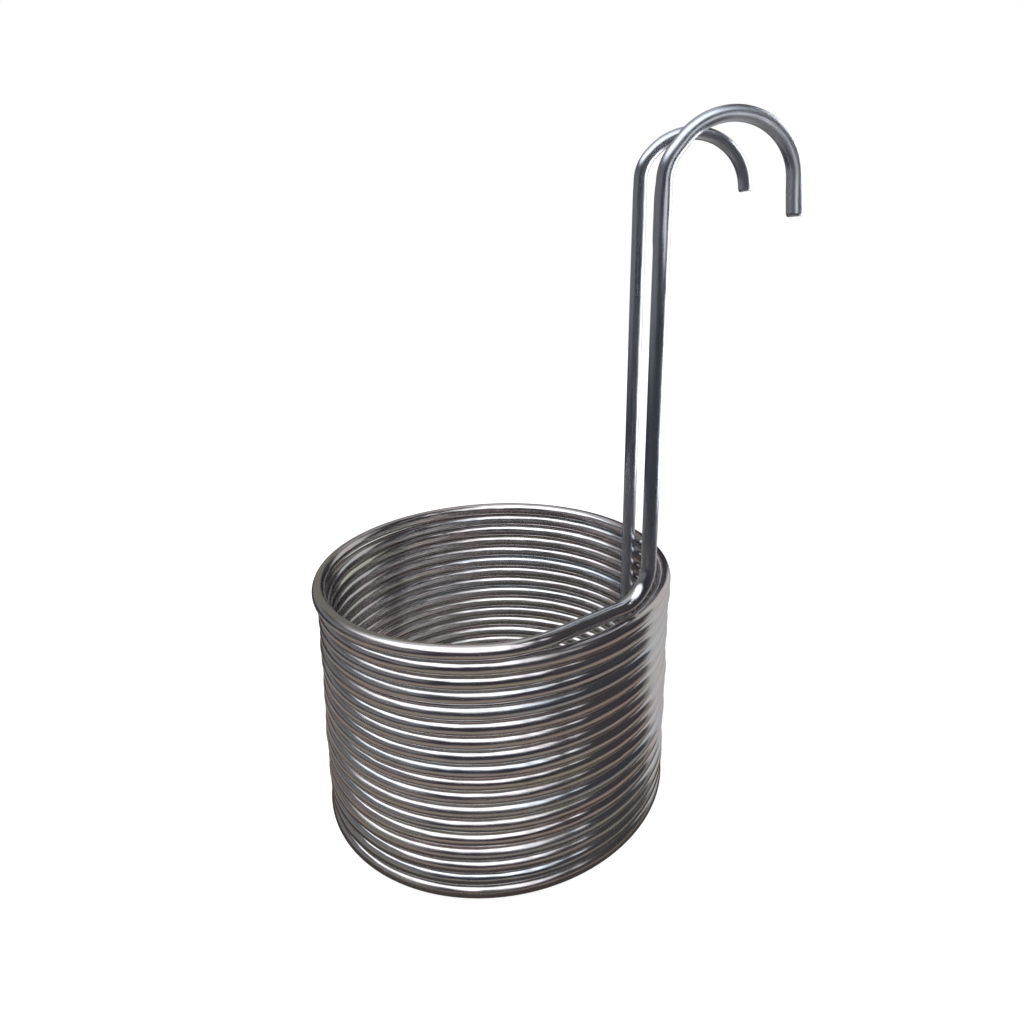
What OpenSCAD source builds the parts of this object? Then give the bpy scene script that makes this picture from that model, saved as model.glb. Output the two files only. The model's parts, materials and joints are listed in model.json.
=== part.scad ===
/*
Immersion wort chiller: one length of thin stainless tube, bent cold.
A close-wound coil carries two risers, and each riser ends in a hook that hangs
over the rim of a kettle. Water goes in at one hook's open end, round the coil
and out of the other. The tube never branches and nothing is joined on to it, so
the sub-parts below are its stretches between the bend lines, in order, and each
meets the next face to face.
Millimetres, +Z up. The origin is on the coil's axis, level with its underside.
*/

/* [Tube] */
// Outside diameter of the tube
tube_od = 9.5; // [8:0.5:12]
// Wall of the tube
wall = 0.9; // [0.6:0.1:1.2]
// Radius broken on the outer edge of each open end
lip_r = 0.6; // [0.2:0.1:0.6]

/* [Coil] */
// Diameter of the coil on the middle of the tube
coil_d = 240; // [220:5:280]
// Air gap between one turn and the next
turn_gap = 0.25; // [0.1:0.05:2]
// How far each turn sits towards the risers beyond the turn below it
turn_shift = 0.3; // [0:0.05:0.6]
// Bearing at which the tube joins the bottom turn
coil_start = 86; // [80:1:92]
// Bearing at which the tube leaves the top turn
coil_end = 266; // [260:1:272]

/* [Crossovers] */
// Radius of the bend that turns a crossover in from the coil
turn_in_r = 75; // [60:1:90]
// Angle of that bend at the top of the coil
top_turn_in = 34.3; // [30:0.1:38]
// Angle of that bend at the bottom of the coil
bottom_turn_in = 49.9; // [48:0.1:54]
// Straight stretch between that bend and the elbow
crossover_len = 47; // [40:1:50]
// Radius of the elbow at the foot of each riser
elbow_r = 24; // [20:1:28]

/* [Risers and hooks] */
// Straight length of the riser fed from the top turn
inlet_riser_len = 227; // [120:1:400]
// Straight length of the riser fed from the bottom turn
outlet_riser_len = 401; // [300:1:580]
// Lean of both risers, outwards
riser_lean = 1.6; // [0:0.1:3]
// Radius of each hook
hook_r = 36.5; // [30:0.5:50]
// Angle the inlet hook turns through
inlet_hook_angle = 175; // [165:1:180]
// Angle the outlet hook turns through
outlet_hook_angle = 172; // [165:1:180]
// Straight open end after the inlet hook, for a hose
inlet_end_len = 22; // [15:1:60]
// Straight open end after the outlet hook, for a hose
outlet_end_len = 6; // [6:1:60]

/* [Hidden] */
TURNS = 18;
$fn = 48;

function half_turn_name(k, half) = str("coil_turn_", k < 10 ? "0" : "", k, "_", half);

bore = tube_od - 2 * wall;
pitch = tube_od + turn_gap;
coil_r = coil_d / 2;

// The back half of each turn lies level. The front half climbs by one pitch and
// shifts by one turn_shift, so it is a half ring in a tilted plane.
front_span = coil_d + turn_shift;
front_tilt = atan(pitch / front_span);
front_r = norm([front_span, pitch]) / 2;

UP = [sin(riser_lean), 0, cos(riser_lean)];
OUTWARDS = [cos(riser_lean), 0, -sin(riser_lean)];

// ---- Directions along the tube ---------------------------------------------
// A pose is a 4x4 matrix: the tube starts at its origin and runs along its X
// axis, and the next bend turns towards its Y axis.

function shifted(v) = [[1, 0, 0, v.x], [0, 1, 0, v.y], [0, 0, 1, v.z], [0, 0, 0, 1]];
function turned(a) = [[cos(a), -sin(a), 0, 0], [sin(a), cos(a), 0, 0], [0, 0, 1, 0], [0, 0, 0, 1]];
function unit(v) = v / norm(v);
function origin_of(pose) = [pose[0][3], pose[1][3], pose[2][3]];
function heading_of(pose) = [pose[0][0], pose[1][0], pose[2][0]];
function pose_of(o, x, y) = let (z = cross(x, y))
    [[x.x, y.x, z.x, o.x], [x.y, y.y, z.y, o.y], [x.z, y.z, z.z, o.z], [0, 0, 0, 1]];

// The same place and heading, with the next bend turning towards a direction
function aimed(pose, towards) = let (x = heading_of(pose))
    pose_of(origin_of(pose), x, unit(towards - (towards * x) * x));
function angle_to(pose, towards) = acos(heading_of(pose) * unit(towards));
function after_straight(pose, length) = pose * shifted([length, 0, 0]);
function after_bend(pose, r, angle) =
    pose * shifted([0, r, 0]) * turned(angle) * shifted([0, -r, 0]);

// ---- Poses, from each end of the coil to the open end ----------------------

function turn_base(k) = [(k - 1) * turn_shift, 0, tube_od / 2 + (k - 1) * pitch];
function front_centre(k) = turn_base(k) + [turn_shift / 2, 0, pitch / 2];

// Top: the tube leaves the last front half and stays in its tilted plane.
tilted_x = [cos(front_tilt), 0, sin(front_tilt)];
top_radial = cos(coil_end) * tilted_x + [0, sin(coil_end), 0];
top_tangent = -sin(coil_end) * tilted_x + [0, cos(coil_end), 0];
top_leave = pose_of(front_centre(TURNS) + front_r * top_radial, top_tangent, -top_radial);
top_straight = after_bend(top_leave, turn_in_r, top_turn_in);
inlet_elbow_pose = aimed(after_straight(top_straight, crossover_len), UP);
inlet_elbow_angle = angle_to(inlet_elbow_pose, UP);
inlet_riser_pose = after_bend(inlet_elbow_pose, elbow_r, inlet_elbow_angle);
inlet_hook_pose = aimed(after_straight(inlet_riser_pose, inlet_riser_len), OUTWARDS);
inlet_end_pose = after_bend(inlet_hook_pose, hook_r, inlet_hook_angle);

// Bottom: the same, followed backwards out of the first back half.
bottom_radial = [cos(coil_start), sin(coil_start), 0];
bottom_tangent = [sin(coil_start), -cos(coil_start), 0];
bottom_leave = pose_of(turn_base(1) + coil_r * bottom_radial, bottom_tangent, -bottom_radial);
bottom_straight = after_bend(bottom_leave, turn_in_r, bottom_turn_in);
outlet_elbow_pose = aimed(after_straight(bottom_straight, crossover_len), UP);
outlet_elbow_angle = angle_to(outlet_elbow_pose, UP);
outlet_riser_pose = after_bend(outlet_elbow_pose, elbow_r, outlet_elbow_angle);
outlet_hook_pose = aimed(after_straight(outlet_riser_pose, outlet_riser_len), OUTWARDS);
outlet_end_pose = after_bend(outlet_hook_pose, hook_r, outlet_hook_angle);

// ---- Stretches of tube -----------------------------------------------------

module tube_section() {
    difference() {
        circle(d = tube_od);
        circle(d = bore);
    }
}

module arc_tube(r, from, to)
    rotate_extrude(angle = to - from, start = from, $fn = 180)
        translate([r, 0])
            tube_section();

module bent_tube(pose, r, angle)
    multmatrix(pose)
        translate([0, r, 0])
            arc_tube(r, -90, angle - 90);

module straight_tube(pose, length)
    multmatrix(pose)
        rotate([0, 90, 0])
            linear_extrude(length)
                tube_section();

// An open end: the saw cut is square and its outer edge is broken
module open_end(pose, length)
    multmatrix(pose)
        rotate([0, 90, 0])
            rotate_extrude() {
                translate([bore / 2, 0])
                    square([wall, length - lip_r]);
                translate([bore / 2, length - lip_r])
                    square([wall - lip_r, lip_r]);
                intersection() {
                    translate([tube_od / 2 - lip_r, length - lip_r])
                        circle(lip_r);
                    translate([tube_od / 2 - lip_r, length - lip_r])
                        square(lip_r);
                }
            }

// ---- Sub-parts -------------------------------------------------------------

module turn_back(k) color("silver")
    translate(turn_base(k))
        arc_tube(coil_r, k == 1 ? coil_start : 0, 180);

module turn_front(k) color("silver")
    translate(front_centre(k))
        rotate([0, -front_tilt, 0])
            arc_tube(front_r, 180, k == TURNS ? coil_end : 360);

module top_inward_bend() color("gainsboro") bent_tube(top_leave, turn_in_r, top_turn_in);
module bottom_inward_bend() color("gainsboro") bent_tube(bottom_leave, turn_in_r, bottom_turn_in);
module top_crossover() color("gray") straight_tube(top_straight, crossover_len);
module bottom_crossover() color("gray") straight_tube(bottom_straight, crossover_len);
module inlet_elbow() color("lightgray") bent_tube(inlet_elbow_pose, elbow_r, inlet_elbow_angle);
module outlet_elbow() color("lightgray") bent_tube(outlet_elbow_pose, elbow_r, outlet_elbow_angle);
module inlet_riser() color("darkgray") straight_tube(inlet_riser_pose, inlet_riser_len);
module outlet_riser() color("darkgray") straight_tube(outlet_riser_pose, outlet_riser_len);
module inlet_hook() color("lightgray") bent_tube(inlet_hook_pose, hook_r, inlet_hook_angle);
module outlet_hook() color("lightgray") bent_tube(outlet_hook_pose, hook_r, outlet_hook_angle);
module inlet_hose_end() color("silver") open_end(inlet_end_pose, inlet_end_len);
module outlet_hose_end() color("silver") open_end(outlet_end_pose, outlet_end_len);

inlet_hose_end();
inlet_hook();
inlet_riser();
inlet_elbow();
top_crossover();
top_inward_bend();
for (k = [1 : TURNS]) {
    turn_front(k);
    turn_back(k);
}
bottom_inward_bend();
bottom_crossover();
outlet_elbow();
outlet_riser();
outlet_hook();
outlet_hose_end();
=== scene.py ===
import json
from math import atan, cos, hypot, pi, radians, sin

import bpy
import numpy as np
from mathutils import Matrix, Vector


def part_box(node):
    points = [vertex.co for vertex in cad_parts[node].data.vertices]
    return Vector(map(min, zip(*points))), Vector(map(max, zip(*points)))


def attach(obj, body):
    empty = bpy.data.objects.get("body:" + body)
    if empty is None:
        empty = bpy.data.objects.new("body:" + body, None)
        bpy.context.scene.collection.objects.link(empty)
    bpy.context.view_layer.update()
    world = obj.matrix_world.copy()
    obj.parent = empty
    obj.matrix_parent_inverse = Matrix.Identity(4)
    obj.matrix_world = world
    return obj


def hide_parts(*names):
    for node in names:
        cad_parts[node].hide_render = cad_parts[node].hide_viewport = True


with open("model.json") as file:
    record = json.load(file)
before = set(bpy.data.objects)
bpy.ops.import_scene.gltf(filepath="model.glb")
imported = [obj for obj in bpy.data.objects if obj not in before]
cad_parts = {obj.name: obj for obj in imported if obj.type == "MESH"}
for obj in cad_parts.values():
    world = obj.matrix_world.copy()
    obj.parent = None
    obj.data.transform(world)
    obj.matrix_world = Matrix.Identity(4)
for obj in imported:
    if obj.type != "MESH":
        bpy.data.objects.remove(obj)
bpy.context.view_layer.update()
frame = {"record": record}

# The looks of an immersion wort chiller: one bright stainless tube, swept along its
# own centreline in the stretches that the CAD nodes stand for. Metres, CAD frame.

MM = 0.001
BODY = "root"
TURNS = 18

# ---- Sizes that the frame gives ----------------------------------------------


def mount(name):
    return next(m for m in frame["record"]["mounts"] if m["name"] == name)


def middle(node):
    low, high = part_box(node)
    return (np.array(low) + np.array(high)) / 2


def half_turn(k, half):
    return f"coil_turn_{k:02d}_{half}"


TUBE_R = mount("inlet_hose")["dims"]["r_mm"] * MM
LOW_TURN, HIGH_TURN = middle(half_turn(2, "back")), middle(half_turn(TURNS, "back"))
PITCH = (HIGH_TURN[2] - LOW_TURN[2]) / (TURNS - 2)
TURN_SHIFT = (HIGH_TURN[0] - LOW_TURN[0]) / (TURNS - 2)
COIL_R = (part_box(half_turn(2, "back"))[1].x - LOW_TURN[0]) - TUBE_R
INLET_END_LEN = mount("inlet_hose")["dims"]["length_mm"] * MM
OUTLET_END_LEN = mount("outlet_hose")["dims"]["length_mm"] * MM

# ---- The bends, as the design has them ---------------------------------------

WALL = 0.9 * MM
LIP_R = 0.6 * MM
COIL_START = radians(86)
COIL_END = radians(266)
TURN_IN_R = 75 * MM
TOP_TURN_IN = radians(34.3)
BOTTOM_TURN_IN = radians(49.9)
CROSSOVER_LEN = 47 * MM
ELBOW_R = 24 * MM
INLET_RISER_LEN = 227 * MM
OUTLET_RISER_LEN = 401 * MM
RISER_LEAN = radians(1.6)
HOOK_R = 36.5 * MM
INLET_HOOK_ANGLE = radians(175)
OUTLET_HOOK_ANGLE = radians(172)

# The back half of a turn lies level. The front half climbs by one pitch, so it is a
# half ring in a tilted plane.
FRONT_SPAN = 2 * COIL_R + TURN_SHIFT
FRONT_TILT = atan(PITCH / FRONT_SPAN)
FRONT_R = hypot(FRONT_SPAN, PITCH) / 2

UP = np.array([sin(RISER_LEAN), 0, cos(RISER_LEAN)])
OUTWARDS = np.array([cos(RISER_LEAN), 0, -sin(RISER_LEAN)])

# ---- How finely the tube is swept --------------------------------------------

SIDES = 36
COIL_STEP = radians(2.5)
BEND_STEP = radians(3)
STRAIGHT_STEP = 4 * MM
BORE_EVERY = 3  # the bore has a ring for every third ring of the wall

# ---- What a hand-bent tube adds ----------------------------------------------

# The turns waver: each wave's share, its waves per radian round the coil, and phase.
TURN_WOBBLE = 0.35 * MM
WOBBLE_WAVES = [(1.0, 0.31, 1.0), (1.0, 1.13, 0.0), (0.7, 1.87, 2.0), (0.5, 3.09, 0.0)]
WOBBLE_FADE = pi

# The top turn sprang outwards where nothing above it holds it in.
RIM_OVERHANG = 4 * MM
RIM_OVERHANG_AT = radians(165)
RIM_OVERHANG_HALF_WIDTH = radians(100)

# A bend flattens the tube in the bend's own plane.
ELBOW_FLATTEN = 0.045
HOOK_FLATTEN = 0.055
FLATTEN_EASE = 10 * MM
FLATTENED = {
    "inlet_elbow": ELBOW_FLATTEN,
    "outlet_elbow": ELBOW_FLATTEN,
    "inlet_hook": HOOK_FLATTEN,
    "outlet_hook": HOOK_FLATTEN,
}

# Each hook starts with a tighter shoulder, then runs nearly straight to its crown:
# the shoulder's radius and angle, and how much higher it starts than the true arc.
INLET_SHOULDER = (27 * MM, radians(38), 0)
OUTLET_SHOULDER = (24 * MM, radians(44), 7 * MM)

# The bender's clamp left the inlet riser a little proud below its hook.
CLAMP_LEN = 36 * MM
CLAMP_EASE = 5 * MM
CLAMP_PROUD = 0.4 * MM

# The open ends are rolled in a little and tumbled smooth.
END_ROUND_LEN = 2.2 * MM
END_ROUND_R = 1.3 * MM
END_FACE = 0.4 * MM
END_ROUND_STEPS = 8

# ---- The tube's centreline ---------------------------------------------------


def unit(v):
    return v / np.linalg.norm(v)


class Pose:
    """A place on the tube: where it is, its heading, and the way the next bend turns."""

    def __init__(self, at, heading, towards):
        self.at = np.array(at, float)
        self.heading = unit(np.array(heading, float))
        side = np.array(towards, float)
        self.towards = unit(side - (side @ self.heading) * self.heading)

    def aimed(self, towards):
        return Pose(self.at, self.heading, towards)

    def straight(self, length):
        steps = max(2, round(length / STRAIGHT_STEP) + 1)
        points = [self.at + s * self.heading for s in np.linspace(0, length, steps)]
        return points, Pose(points[-1], self.heading, self.towards)

    def bend(self, radius, angle):
        steps = max(3, round(angle / BEND_STEP) + 1)
        centre = self.at + radius * self.towards
        points = [
            centre + radius * (sin(a) * self.heading - cos(a) * self.towards)
            for a in np.linspace(0, angle, steps)
        ]
        heading = cos(angle) * self.heading + sin(angle) * self.towards
        towards = cos(angle) * self.towards - sin(angle) * self.heading
        return points, Pose(points[-1], heading, towards)

    def hook(self, angle, shoulder):
        """A hook that ends where the true arc of HOOK_R would end: its shoulder, a
        straight run and a wide bend, which are sized by what is left to cover."""
        tight_r, tight, rise = shoulder
        reach = HOOK_R * (1 - cos(angle)) - tight_r * (1 - cos(tight))
        climb = HOOK_R * sin(angle) - rise - tight_r * sin(tight)
        ways = [[sin(tight), cos(tight) - cos(angle)], [cos(tight), sin(angle) - sin(tight)]]
        run, wide_r = np.linalg.solve(ways, [reach, climb])
        first, pose = self.bend(tight_r, tight)
        second, pose = pose.straight(run)
        last, pose = pose.bend(wide_r, angle - tight)
        return first + second[1:] + last[1:], pose


def turn_base(k):
    """The middle of turn k's back half."""
    return np.array([(k - 1) * TURN_SHIFT, 0, TUBE_R + (k - 1) * PITCH])


def front_centre(k):
    return turn_base(k) + np.array([TURN_SHIFT / 2, 0, PITCH / 2])


def radial(bearing, tilt):
    """Away from the middle of a ring whose plane climbs towards +X."""
    return np.array([cos(bearing) * cos(tilt), sin(bearing), cos(bearing) * sin(tilt)])


def tangent(bearing, tilt):
    return np.array([-sin(bearing) * cos(tilt), cos(bearing), -sin(bearing) * sin(tilt)])


def rim_overhang(k, bearing):
    off = abs(bearing - RIM_OVERHANG_AT) / RIM_OVERHANG_HALF_WIDTH
    return RIM_OVERHANG * cos(off * pi / 2) ** 2 if k == TURNS and off < 1 else 0


def wobble(k, bearing):
    """How far a turn stands out from the true circle, continuous from turn to turn and
    fading out where the tube leaves the coil."""
    t = 2 * pi * (k - 1) + bearing
    last = 2 * pi * (TURNS - 1) + COIL_END
    fade = min(1, (t - COIL_START) / WOBBLE_FADE, (last - t) / WOBBLE_FADE)
    waves = sum(share * sin(rate * t + phase) for share, rate, phase in WOBBLE_WAVES)
    return TURN_WOBBLE * max(0, fade) * waves


def turn_point(k, bearing):
    """On the level back half of turn k, or on its climbing front half."""
    if bearing <= pi:
        centre, radius, tilt = turn_base(k), COIL_R, 0
    else:
        centre, radius, tilt = front_centre(k), FRONT_R, FRONT_TILT
    radius += wobble(k, bearing) + rim_overhang(k, bearing)
    return centre + radius * radial(bearing, tilt)


def turn_points(k):
    first = COIL_START if k == 1 else 0
    last = COIL_END if k == TURNS else 2 * pi
    steps = round((last - first) / COIL_STEP) + 1
    return [turn_point(k, b) for b in np.linspace(first, last, steps)]


def leaving_coil(centre, radius, bearing, tilt, onwards):
    """The pose at the coil's end, where onwards is 1 at the top and -1 at the bottom."""
    out = radial(bearing, tilt)
    return Pose(centre + radius * out, onwards * tangent(bearing, tilt), -out)


def hose_side(pose, turn_in, riser_len, hook_angle, shoulder, end_len):
    """The points of the six stretches from the coil to an open end, in order."""
    rise = shoulder[2]
    inward, pose = pose.bend(TURN_IN_R, turn_in)
    crossover, pose = pose.straight(CROSSOVER_LEN)
    pose = pose.aimed(UP)
    elbow, pose = pose.bend(ELBOW_R, np.arccos(pose.heading @ UP))
    riser, pose = pose.straight(riser_len + rise)
    arc, pose = pose.aimed(OUTWARDS).hook(hook_angle, shoulder)
    # A mount's length stops short of the lip, and the rounding is added by open_end.
    end, pose = pose.straight(end_len + LIP_R - END_ROUND_LEN)
    return [inward, crossover, elbow, riser, arc, end]


def hose_side_names(coil_end, side):
    by_coil = [f"{coil_end}_{part}" for part in ("inward_bend", "crossover")]
    return by_coil + [f"{side}_{part}" for part in ("elbow", "riser", "hook", "hose_end")]


def stretches():
    """Every stretch from the inlet's open end to the outlet's: name, nodes, points."""
    top = leaving_coil(front_centre(TURNS), FRONT_R, COIL_END, FRONT_TILT, 1)
    bottom = leaving_coil(turn_base(1), COIL_R, COIL_START, 0, -1)
    inlet = hose_side(top, TOP_TURN_IN, INLET_RISER_LEN, INLET_HOOK_ANGLE,
                      INLET_SHOULDER, INLET_END_LEN)
    outlet = hose_side(bottom, BOTTOM_TURN_IN, OUTLET_RISER_LEN, OUTLET_HOOK_ANGLE,
                       OUTLET_SHOULDER, OUTLET_END_LEN)
    found = [(n, [n], p[::-1]) for n, p in zip(hose_side_names("top", "inlet"), inlet)][::-1]
    for k in range(TURNS, 0, -1):
        nodes = [half_turn(k, "front"), half_turn(k, "back")]
        found.append((f"coil_turn_{k:02d}", nodes, turn_points(k)[::-1]))
    found += [(n, [n], p) for n, p in zip(hose_side_names("bottom", "outlet"), outlet)]
    return found


# ---- The swept tube ----------------------------------------------------------

UV_NAME = "tube"


def flat(direction):
    """One normal for a whole ring."""
    return np.tile(direction, (SIDES, 1))


class Sweep:
    """The whole tube's wall: one frame runs through all the stretches, so that the
    draw lines run on from each stretch to the next."""

    def __init__(self, found):
        self.spans = {}
        points = [found[0][2][0]]
        for name, nodes, stretch in found:
            first = len(points) - 1
            points += list(stretch[1:])
            self.spans[name] = (nodes, first, len(points) - 1)
        self.points = np.array(points)
        steps = np.linalg.norm(np.diff(self.points, axis=0), axis=1)
        self.along = np.concatenate([[0], np.cumsum(steps)])
        self.last = len(points) - 1
        self.set_frames()
        radii = TUBE_R + self.flattening() + self.clamp_mark()
        self.outer = self.points[:, None] + radii[:, :, None] * self.spokes
        self.bore = self.outer - WALL * self.spokes
        self.set_normals()

    def set_frames(self):
        """Headings, and spokes that never twist round the tube."""
        headings = np.gradient(self.points, axis=0)
        self.headings = headings / np.linalg.norm(headings, axis=1)[:, None]
        across = [unit(np.cross(self.headings[0], [0, 1, 0]))]
        for h in self.headings[1:]:
            across.append(unit(across[-1] - (across[-1] @ h) * h))
        across = np.array(across)
        up = np.cross(self.headings, across)
        angles = 2 * pi * np.arange(SIDES) / SIDES
        self.spokes = (
            np.cos(angles)[None, :, None] * across[:, None]
            + np.sin(angles)[None, :, None] * up[:, None]
        )

    def reach(self, name, ease):
        """1 along a stretch, easing to 0 beyond both of its ends."""
        _, first, stop = self.spans[name]
        beyond = np.maximum(self.along[first] - self.along, self.along - self.along[stop])
        share = np.clip(1 - beyond / ease, 0, 1)
        return share * share * (3 - 2 * share)

    def bend_plane(self, name):
        """The normal of a bend's plane. A hook's ends are nearly parallel, so its
        plane is stated: upright, and across the kettle's rim."""
        if name.endswith("hook"):
            return np.array([0.0, 1.0, 0.0])
        _, first, stop = self.spans[name]
        return unit(np.cross(self.headings[first], self.headings[stop]))

    def flattening(self):
        """Thinner in the plane of the bend and as much wider across it."""
        total = np.zeros(self.spokes.shape[:2])
        for name, depth in FLATTENED.items():
            off_plane = (self.spokes @ self.bend_plane(name)) ** 2
            total += TUBE_R * depth * self.reach(name, FLATTEN_EASE)[:, None] * (2 * off_plane - 1)
        return total

    def clamp_mark(self):
        """The inlet riser stands proud on its side away from the hook's mouth."""
        past = self.along - self.along[self.spans["inlet_hook"][2]]
        rising = np.clip(past / CLAMP_EASE, 0, 1)
        falling = np.clip((CLAMP_LEN - past) / CLAMP_EASE, 0, 1)
        side = np.clip(-self.spokes @ OUTWARDS, 0, 1)
        return CLAMP_PROUD * (rising * falling)[:, None] * side

    def set_normals(self):
        lengthwise = np.gradient(self.outer, axis=0)
        around = np.roll(self.outer, -1, axis=1) - np.roll(self.outer, 1, axis=1)
        normals = np.cross(around, lengthwise)
        self.normals = normals / np.linalg.norm(normals, axis=2)[:, :, None]

    def open_end(self, i, outwards):
        """Rings from the wall to the bore round the end: points and both normals."""
        rings = []
        for a in np.linspace(0, pi / 2, END_ROUND_STEPS)[1:]:
            inset = END_ROUND_R * (1 - cos(a))
            points = self.outer[i] - inset * self.spokes[i] + END_ROUND_LEN * sin(a) * outwards
            slope = cos(a) / END_ROUND_R * self.spokes[i] + sin(a) / END_ROUND_LEN * outwards
            normals = slope / np.linalg.norm(slope, axis=1)[:, None]
            rings.append([points, normals, normals])
        rings[-1][2] = flat(outwards)
        mouth = rings[-1][0] - END_FACE * self.spokes[i]
        rings.append([mouth, flat(outwards), -self.spokes[i]])
        return rings

    def wall_rings(self, first, stop):
        """The closed run of rings of one stretch: out along the wall, back along the bore.
        Each ring has its points, its normals before it and its normals after it."""
        outer = [[self.outer[i], self.normals[i], self.normals[i]] for i in range(first, stop + 1)]
        inside = sorted({first, stop, *range(first, stop, BORE_EVERY)}, reverse=True)
        bore = [[self.bore[i], -self.spokes[i], -self.spokes[i]] for i in inside]
        outer_along, bore_along = list(self.along[first : stop + 1]), list(self.along[inside])
        if stop == self.last:
            extra = self.open_end(stop, self.headings[stop])
            outer += extra
            outer_along += [self.along[stop] + END_ROUND_LEN] * len(extra)
        else:
            outer[-1][2] = bore[0][1] = flat(self.headings[stop])
        if first == 0:
            extra = [[p, after, before] for p, before, after in self.open_end(0, -self.headings[0])]
            outer = extra[-2::-1] + outer
            bore.append(extra[-1])
            outer_along = [-END_ROUND_LEN] * (len(extra) - 1) + outer_along
            bore_along.append(-END_ROUND_LEN)
        else:
            outer[0][1] = bore[-1][2] = flat(-self.headings[first])
        return outer + bore, outer_along + bore_along


def closed_wall(name, rings, along):
    """A mesh of rings joined in order, and the last to the first."""
    points = np.concatenate([ring[0] for ring in rings])
    faces, normals, uvs = [], [], []
    for i in range(len(rings)):
        j = (i + 1) % len(rings)
        after, before = rings[i][2], rings[j][1]
        for a in range(SIDES):
            b = (a + 1) % SIDES
            faces.append((i * SIDES + a, i * SIDES + b, j * SIDES + b, j * SIDES + a))
            normals += [after[a], after[b], before[b], before[a]]
            low, high = a / SIDES, (a + 1) / SIDES
            uvs += [(low, along[i]), (high, along[i]), (high, along[j]), (low, along[j])]
    mesh = bpy.data.meshes.new(name)
    mesh.from_pydata(points.tolist(), [], faces)
    layer = mesh.uv_layers.new(name=UV_NAME)
    layer.data.foreach_set("uv", np.array(uvs, np.float32).ravel())
    mesh.shade_smooth()
    mesh.normals_split_custom_set(np.array(normals).tolist())
    obj = bpy.data.objects.new(name, mesh)
    bpy.context.scene.collection.objects.link(obj)
    return obj


def piece_of(sweep, name):
    _, first, stop = sweep.spans[name]
    return closed_wall("tube_" + name, *sweep.wall_rings(first, stop))


# ---- Shader nodes ------------------------------------------------------------


class Nodes:
    """A short way to make and join shader nodes."""

    def __init__(self, tree):
        self.tree = tree

    def add(self, kind, inputs=(), **settings):
        node = self.tree.nodes.new(kind)
        for name, value in settings.items():
            setattr(node, name, value)
        for socket, value in dict(inputs).items():
            if isinstance(value, bpy.types.NodeSocket):
                self.tree.links.new(value, node.inputs[socket])
            else:
                node.inputs[socket].default_value = value
        return node

    def math(self, operation, *values):
        return self.add("ShaderNodeMath", dict(enumerate(values)), operation=operation).outputs[0]

    def steps(self, value, low, high, to_low=0.0, to_high=1.0):
        inputs = {"Value": value, "From Min": low, "From Max": high,
                  "To Min": to_low, "To Max": to_high}
        ease = self.add("ShaderNodeMapRange", inputs, interpolation_type="SMOOTHSTEP")
        return ease.outputs["Result"]

    def mix(self, factor, a, b):
        first, second = (v if isinstance(v, bpy.types.NodeSocket) else (*v, 1) for v in (a, b))
        node = self.add("ShaderNodeMix", {0: factor, 6: first, 7: second}, data_type="RGBA")
        return node.outputs[2]

    def ramp(self, value, stops):
        node = self.add("ShaderNodeValToRGB", {0: value})
        elements = node.color_ramp.elements
        while len(elements) < len(stops):
            elements.new(0.5)
        for element, (place, colour) in zip(elements, stops):
            element.position = place
            element.color = (*colour, 1)
        return node.outputs["Color"]


class WallNodes(Nodes):
    """Shader nodes that know their place on the tube's wall."""

    def __init__(self, tree):
        super().__init__(tree)
        place = self.add("ShaderNodeUVMap", uv_map=UV_NAME).outputs[0]
        around, self.along, _ = self.add("ShaderNodeSeparateXYZ", {0: place}).outputs
        self.angle = self.math("MULTIPLY", around, 2 * pi)

    def noise(self, around, lengthwise, detail):
        """Noise with so many features per radian round the tube, and per metre along it."""
        parts = {
            0: self.math("MULTIPLY", self.math("COSINE", self.angle), around),
            1: self.math("MULTIPLY", self.math("SINE", self.angle), around),
            2: self.math("MULTIPLY", self.along, lengthwise),
        }
        place = self.add("ShaderNodeCombineXYZ", parts).outputs[0]
        inputs = {"Vector": place, "Scale": 1.0, "Detail": detail}
        return self.add("ShaderNodeTexNoise", inputs).outputs[0]

    def between(self, start, stop):
        """1 between two distances along the tube, each given as where its edge starts
        and stops."""
        after = self.steps(self.along, *start)
        return self.math("MULTIPLY", after, self.steps(self.along, *stop, 1.0, 0.0))


# ---- Material ----------------------------------------------------------------

# Each noise: features per radian round the tube, features per metre, and detail.
DRAW_LINES = (14.0, 30.0, 3.0)
FINE_LINES = (40.0, 90.0, 2.0)
HAZE = (0.7, 14.0, 4.0)
TINT = (0.5, 7.0, 3.0)
SPECKS = (5.0, 1100.0, 1.0)
WAVES = (0.8, 28.0, 2.0)
SCUFFS = (9.0, 60.0, 3.0)

# The coil's steel, from bluish to pinkish to olive, with a dull film in places.
TINTS = [
    (0.30, (0.680, 0.715, 0.770)),
    (0.44, (0.745, 0.740, 0.725)),
    (0.57, (0.775, 0.695, 0.700)),
    (0.70, (0.720, 0.720, 0.625)),
]
SOIL_COLOUR = (0.480, 0.460, 0.440)

# How a noise shows: the two values between which it acts, and what it gives at each.
SOIL_IN_HAZE = (0.50, 0.72, 0.0, 0.22)
HAZE_ROUGHNESS = (0.35, 0.70, 0.13, 0.22)
LINES_ROUGHNESS = (0.45, 0.75, 0.0, 0.07)
SPECKS_ROUGHNESS = (0.70, 0.80, 0.0, 0.10)
SCUFFED = (0.38, 0.62)

# Where the bender scuffed the inlet hook, in metres from the inlet's open end: the
# distances over which the scuffs start and stop.
SCUFF_START = (0.026, 0.044)
SCUFF_STOP = (0.070, 0.092)
SCUFF_ROUGHNESS = 0.16

# The risers were handled more: their satin finish eases out over this length.
SATIN_EASE = 0.06
SATIN_COLOUR = (0.610, 0.640, 0.700)
SATIN_ROUGHNESS = 0.12

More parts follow.
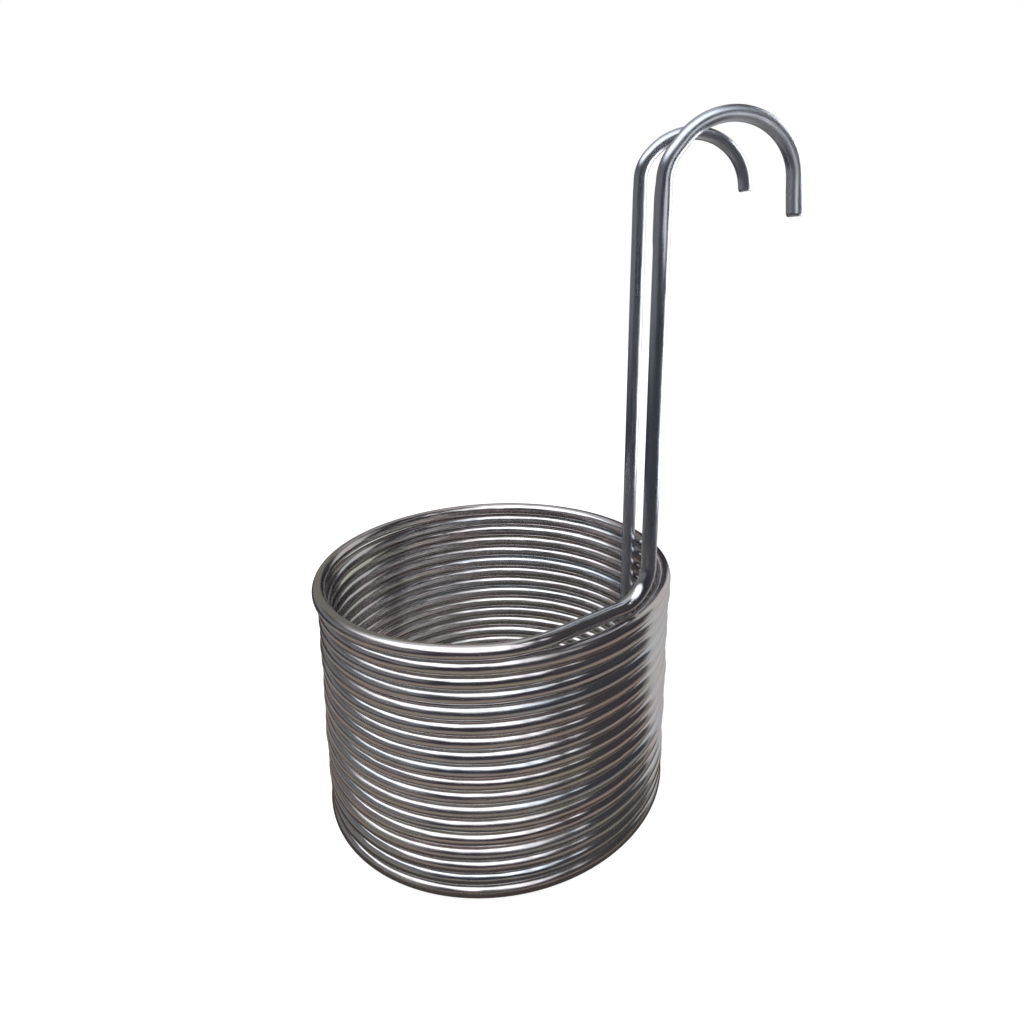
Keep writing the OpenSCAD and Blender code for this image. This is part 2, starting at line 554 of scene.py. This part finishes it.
DRAWN_ANISOTROPY = 0.65
WAVE_DEPTH = 0.5 * MM
LINE_DEPTH = 0.04 * MM
LINE_STRENGTH = 0.25
FINE_SHARE = 0.5


def steel_colour(wall, coil, haze):
    tinted = wall.ramp(wall.noise(*TINT), TINTS)
    clean = wall.mix(coil, SATIN_COLOUR, tinted)
    return wall.mix(wall.steps(haze, *SOIL_IN_HAZE), clean, SOIL_COLOUR)


def steel_roughness(wall, coil, haze, lines):
    scuffs = wall.math(
        "MULTIPLY", wall.between(SCUFF_START, SCUFF_STOP), wall.steps(wall.noise(*SCUFFS), *SCUFFED)
    )
    total = wall.steps(haze, *HAZE_ROUGHNESS)
    for more in (
        wall.steps(coil, 0.0, 1.0, SATIN_ROUGHNESS, 0.0),
        wall.steps(lines, *LINES_ROUGHNESS),
        wall.steps(wall.noise(*SPECKS), *SPECKS_ROUGHNESS),
        wall.math("MULTIPLY", scuffs, SCUFF_ROUGHNESS),
    ):
        total = wall.math("ADD", total, more)
    return total


def steel_normal(wall, lines):
    """Shallow waves from rolling, under the draw lines."""
    rolled = wall.add(
        "ShaderNodeBump", {"Height": wall.noise(*WAVES), "Strength": 1.0, "Distance": WAVE_DEPTH}
    )
    relief = wall.math("ADD", lines, wall.math("MULTIPLY", wall.noise(*FINE_LINES), FINE_SHARE))
    drawn = wall.add("ShaderNodeBump", {
        "Height": relief, "Strength": LINE_STRENGTH, "Distance": LINE_DEPTH,
        "Normal": rolled.outputs[0],
    })
    return drawn.outputs[0]


def bright_tube_material(coil_from, coil_to):
    """Bright-annealed stainless with fine draw lines along the tube: nearly a mirror
    between two distances along the tube, and satin beyond them."""
    mat = bpy.data.materials.new("bright_stainless_tube")
    mat.use_nodes = True
    wall = WallNodes(mat.node_tree)
    bsdf = mat.node_tree.nodes["Principled BSDF"]
    coil = wall.between((coil_from - SATIN_EASE, coil_from), (coil_to, coil_to + SATIN_EASE))
    haze, lines = wall.noise(*HAZE), wall.noise(*DRAW_LINES)
    looks = {
        "Base Color": steel_colour(wall, coil, haze),
        "Roughness": steel_roughness(wall, coil, haze, lines),
        "Normal": steel_normal(wall, lines),
        "Tangent": wall.add("ShaderNodeTangent", direction_type="UV_MAP", uv_map=UV_NAME).outputs[0],
    }
    for socket, value in looks.items():
        mat.node_tree.links.new(value, bsdf.inputs[socket])
    bsdf.inputs["Metallic"].default_value = 1
    bsdf.inputs["Anisotropic"].default_value = DRAWN_ANISOTROPY
    return mat


# ---- Room --------------------------------------------------------------------

# What the steel mirrors. Azimuth 0 is the camera's side and 90 is to its right.
# Height above the horizon as a sine, and the room's colour there.
ROOM_DARK = (0.028, 0.028, 0.040)
ROOM_BANDS = [
    (-1.0, (0.090, 0.080, 0.072)),
    (-0.10, ROOM_DARK),
    (0.32, (0.022, 0.022, 0.032)),
    (0.50, (0.060, 0.060, 0.070)),
    (0.64, (0.480, 0.490, 0.510)),
    (1.0, (0.600, 0.620, 0.640)),
]

# Each panel: azimuth, half width, elevation, half height, softness, in degrees; colour
ROOM_PANELS = [
    (-100, 56, -4, 26, 20, (0.185, 0.186, 0.198)),
    (-158, 24, 5, 40, 10, (0.200, 0.185, 0.165)),
    (-42, 70, 59, 25, 14, (1.800, 1.870, 1.980)),
    (15, 3, 60, 24, 5, (0.600, 0.620, 0.650)),
    (92, 64, 44, 40, 18, (0.048, 0.046, 0.050)),
    (36, 4, 56, 7, 4, (1.900, 1.960, 2.040)),
    (52, 4, 50, 7, 4, (1.600, 1.650, 1.720)),
    (122, 20, 0, 44, 8, (0.560, 0.565, 0.575)),
]

# The table near the object, as the steel mirrors it, painted into a glow that only
# reflections see: painted shade of the coil round its axis, then a warm ring of painted
# light that ends in the dark, and a grey sheet of paper towards the right and the back.
# The ring starts and ends over these distances from the coil's axis.
TABLE_LIT_COLOUR = (0.270, 0.235, 0.205)
TABLE_SHADE = (0.050, 0.045, 0.042)
TABLE_STARTS = (0.150, 0.205)
TABLE_ENDS = (0.320, 0.560)
TABLE_PAPER = (118, 26, 0, 90, 10, (0.480, 0.480, 0.480))

FLOOR_SIDE = 4
FLOOR_COLOUR = (0.60, 0.60, 0.60, 1)
FLOOR_ROUGHNESS = 0.9
FLOOR_GLOW = 0.84
WHITE = (1, 1, 1, 1)


def azimuth_of(nodes, x, y):
    return nodes.math("ARCTAN2", x, nodes.math("MULTIPLY", y, -1.0))


def with_panel(nodes, azimuth, elevation, panel, behind):
    """A colour with a soft-edged panel in front of it."""
    at, half_width, high, half_height, soft, colour = panel
    wrapped = nodes.math("WRAP", nodes.math("SUBTRACT", azimuth, radians(at)), pi, -pi)
    raised = nodes.math("SUBTRACT", elevation, radians(high))
    inside = []
    for offset, half in ((wrapped, half_width), (raised, half_height)):
        edge = (radians(half - soft / 2), radians(half + soft / 2))
        inside.append(nodes.steps(nodes.math("ABSOLUTE", offset), *edge, 1.0, 0.0))
    return nodes.mix(nodes.math("MULTIPLY", *inside), behind, colour)


def room():
    """Plain white to the camera; to the steel, a light ceiling and dim walls, with panels."""
    world = bpy.data.worlds.new("studio")
    bpy.context.scene.world = world
    world.use_nodes = True
    world.node_tree.nodes.clear()
    nodes = Nodes(world.node_tree)
    direction = nodes.add("ShaderNodeTexCoord").outputs["Generated"]
    x, y, z = nodes.add("ShaderNodeSeparateXYZ", {0: direction}).outputs
    azimuth, elevation = azimuth_of(nodes, x, y), nodes.math("ARCSINE", z)
    height = nodes.add("ShaderNodeMapRange", {"Value": z, "From Min": -1.0}).outputs["Result"]
    colour = nodes.ramp(height, [((h + 1) / 2, c) for h, c in ROOM_BANDS])
    for panel in ROOM_PANELS:
        colour = with_panel(nodes, azimuth, elevation, panel, colour)
    mirrored = nodes.add("ShaderNodeBackground", {"Color": colour})
    plain = nodes.add("ShaderNodeBackground", {"Color": WHITE})
    seen = nodes.add("ShaderNodeLightPath").outputs["Is Camera Ray"]
    both = nodes.add("ShaderNodeMixShader", {0: seen, 1: mirrored.outputs[0], 2: plain.outputs[0]})
    nodes.add("ShaderNodeOutputWorld", {"Surface": both.outputs[0]})


def table_in_steel(nodes):
    """The floor's colour as the steel mirrors it, with painted shade round the coil and painted
    light on the warm ring.
    """
    place = nodes.add("ShaderNodeTexCoord").outputs["Object"]
    away = nodes.add("ShaderNodeVectorMath", {0: place}, operation="LENGTH").outputs["Value"]
    x, y, _ = nodes.add("ShaderNodeSeparateXYZ", {0: place}).outputs
    # painted shade near the coil's axis, easing into the warm ring of painted light
    table = nodes.mix(nodes.steps(away, *TABLE_STARTS), TABLE_SHADE, TABLE_LIT_COLOUR)
    near = nodes.steps(away, *TABLE_ENDS, 1.0, 0.0)
    lit = nodes.mix(near, ROOM_DARK, table)
    return with_panel(nodes, azimuth_of(nodes, x, y), 0.0, TABLE_PAPER, lit)


def floor():
    """Pale to the camera; to the steel, a warm table with painted light and painted shade."""
    bpy.ops.mesh.primitive_plane_add(size=FLOOR_SIDE, location=(0, 0, 0))
    plane = bpy.context.object
    plane.name = "floor"
    mat = bpy.data.materials.new("pale_floor")
    mat.use_nodes = True
    nodes = Nodes(mat.node_tree)
    bsdf = mat.node_tree.nodes["Principled BSDF"]
    bsdf.inputs["Base Color"].default_value = FLOOR_COLOUR
    bsdf.inputs["Roughness"].default_value = FLOOR_ROUGHNESS
    bsdf.inputs["Emission Color"].default_value = WHITE
    bsdf.inputs["Emission Strength"].default_value = FLOOR_GLOW
    mirrored = nodes.add("ShaderNodeEmission", {"Color": table_in_steel(nodes), "Strength": 1.0})
    glossy = nodes.add("ShaderNodeLightPath").outputs["Is Glossy Ray"]
    both = nodes.add("ShaderNodeMixShader", {0: glossy, 1: bsdf.outputs[0], 2: mirrored.outputs[0]})
    output = mat.node_tree.nodes["Material Output"]
    mat.node_tree.links.new(both.outputs[0], output.inputs["Surface"])
    plane.data.materials.append(mat)


# ---- Lights ------------------------------------------------------------------

# Soft lights that reach only some pieces. The first burns out the right edges of both
# risers and hooks, and the other two lighten the hook that is nearest the camera.
FRONT_HOOK = ["inlet_hook", "inlet_hose_end"]
RISERS_AND_HOOKS = ["inlet_riser", "outlet_riser", "outlet_hook", "outlet_hose_end", *FRONT_HOOK]

# Each light: its name, where it is, what it faces, its size, its power and what it lights
LIGHTS = [
    ("rim_strip", (0.75, 0.06, 0.16), (0.10, 0.06, 0.16), (1.50, 0.48), 6.5, RISERS_AND_HOOKS),
    ("hook_card", (0.188, -0.225, 0.410), (0.172, -0.075, 0.440), (0.080, 0.075), 0.022,
     [*FRONT_HOOK, "inlet_riser"]),
    ("hook_strip", (0.75, 0.06, 0.51), (0.10, 0.06, 0.51), (1.50, 0.22), 3.0, FRONT_HOOK),
]


def soft_light(name, at, facing, size, watts, lit_pieces):
    data = bpy.data.lights.new(name, "AREA")
    data.shape = "RECTANGLE"
    data.size, data.size_y = size
    data.energy = watts
    lamp = bpy.data.objects.new(name, data)
    lamp.location = at
    lamp.visible_camera = False
    lamp.rotation_euler = (Vector(facing) - Vector(at)).to_track_quat("-Z", "Z").to_euler()
    bpy.context.scene.collection.objects.link(lamp)
    lit = bpy.data.collections.new(name + "_lit")
    for piece in lit_pieces:
        lit.objects.link(piece)
    lamp.light_linking.receiver_collection = lit


# ---- Camera ------------------------------------------------------------------

CAMERA_AT = (-0.0018, -0.5059, 0.4064)
CAMERA_YAW = radians(2.70)
CAMERA_PITCH = radians(-14.66)
CAMERA_ROLL = radians(2.12)
LENS_MM = 26.68
SENSOR_MM = 36
LENS_SHIFT = -0.0815
CLIP_START = 0.01


def camera():
    """Above the front, looking along +Y; yaw and roll are to the right, pitch is upwards."""
    data = bpy.data.cameras.new("camera")
    data.lens = LENS_MM
    data.sensor_width = SENSOR_MM
    data.shift_y = LENS_SHIFT
    data.clip_start = CLIP_START
    obj = bpy.data.objects.new("camera", data)
    obj.location = CAMERA_AT
    turn = Matrix.Rotation(-CAMERA_YAW, 3, "Z") @ Matrix.Rotation(pi / 2 + CAMERA_PITCH, 3, "X")
    obj.rotation_euler = (turn @ Matrix.Rotation(-CAMERA_ROLL, 3, "Z")).to_euler()
    bpy.context.scene.collection.objects.link(obj)
    bpy.context.scene.camera = obj


camera()
bpy.context.scene.view_settings.view_transform = "Standard"
room()
floor()
sweep = Sweep(stretches())
coil_from = sweep.along[sweep.spans["top_crossover"][1]]
coil_to = sweep.along[sweep.spans["bottom_crossover"][2]]
steel = bright_tube_material(coil_from, coil_to)
pieces = {}
for name, (nodes, _, _) in sweep.spans.items():
    piece = pieces[name] = piece_of(sweep, name)
    piece.data.materials.append(steel)
    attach(piece, BODY)
    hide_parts(*nodes)
for *light, lit_names in LIGHTS:
    soft_light(*light, [pieces[n] for n in lit_names])
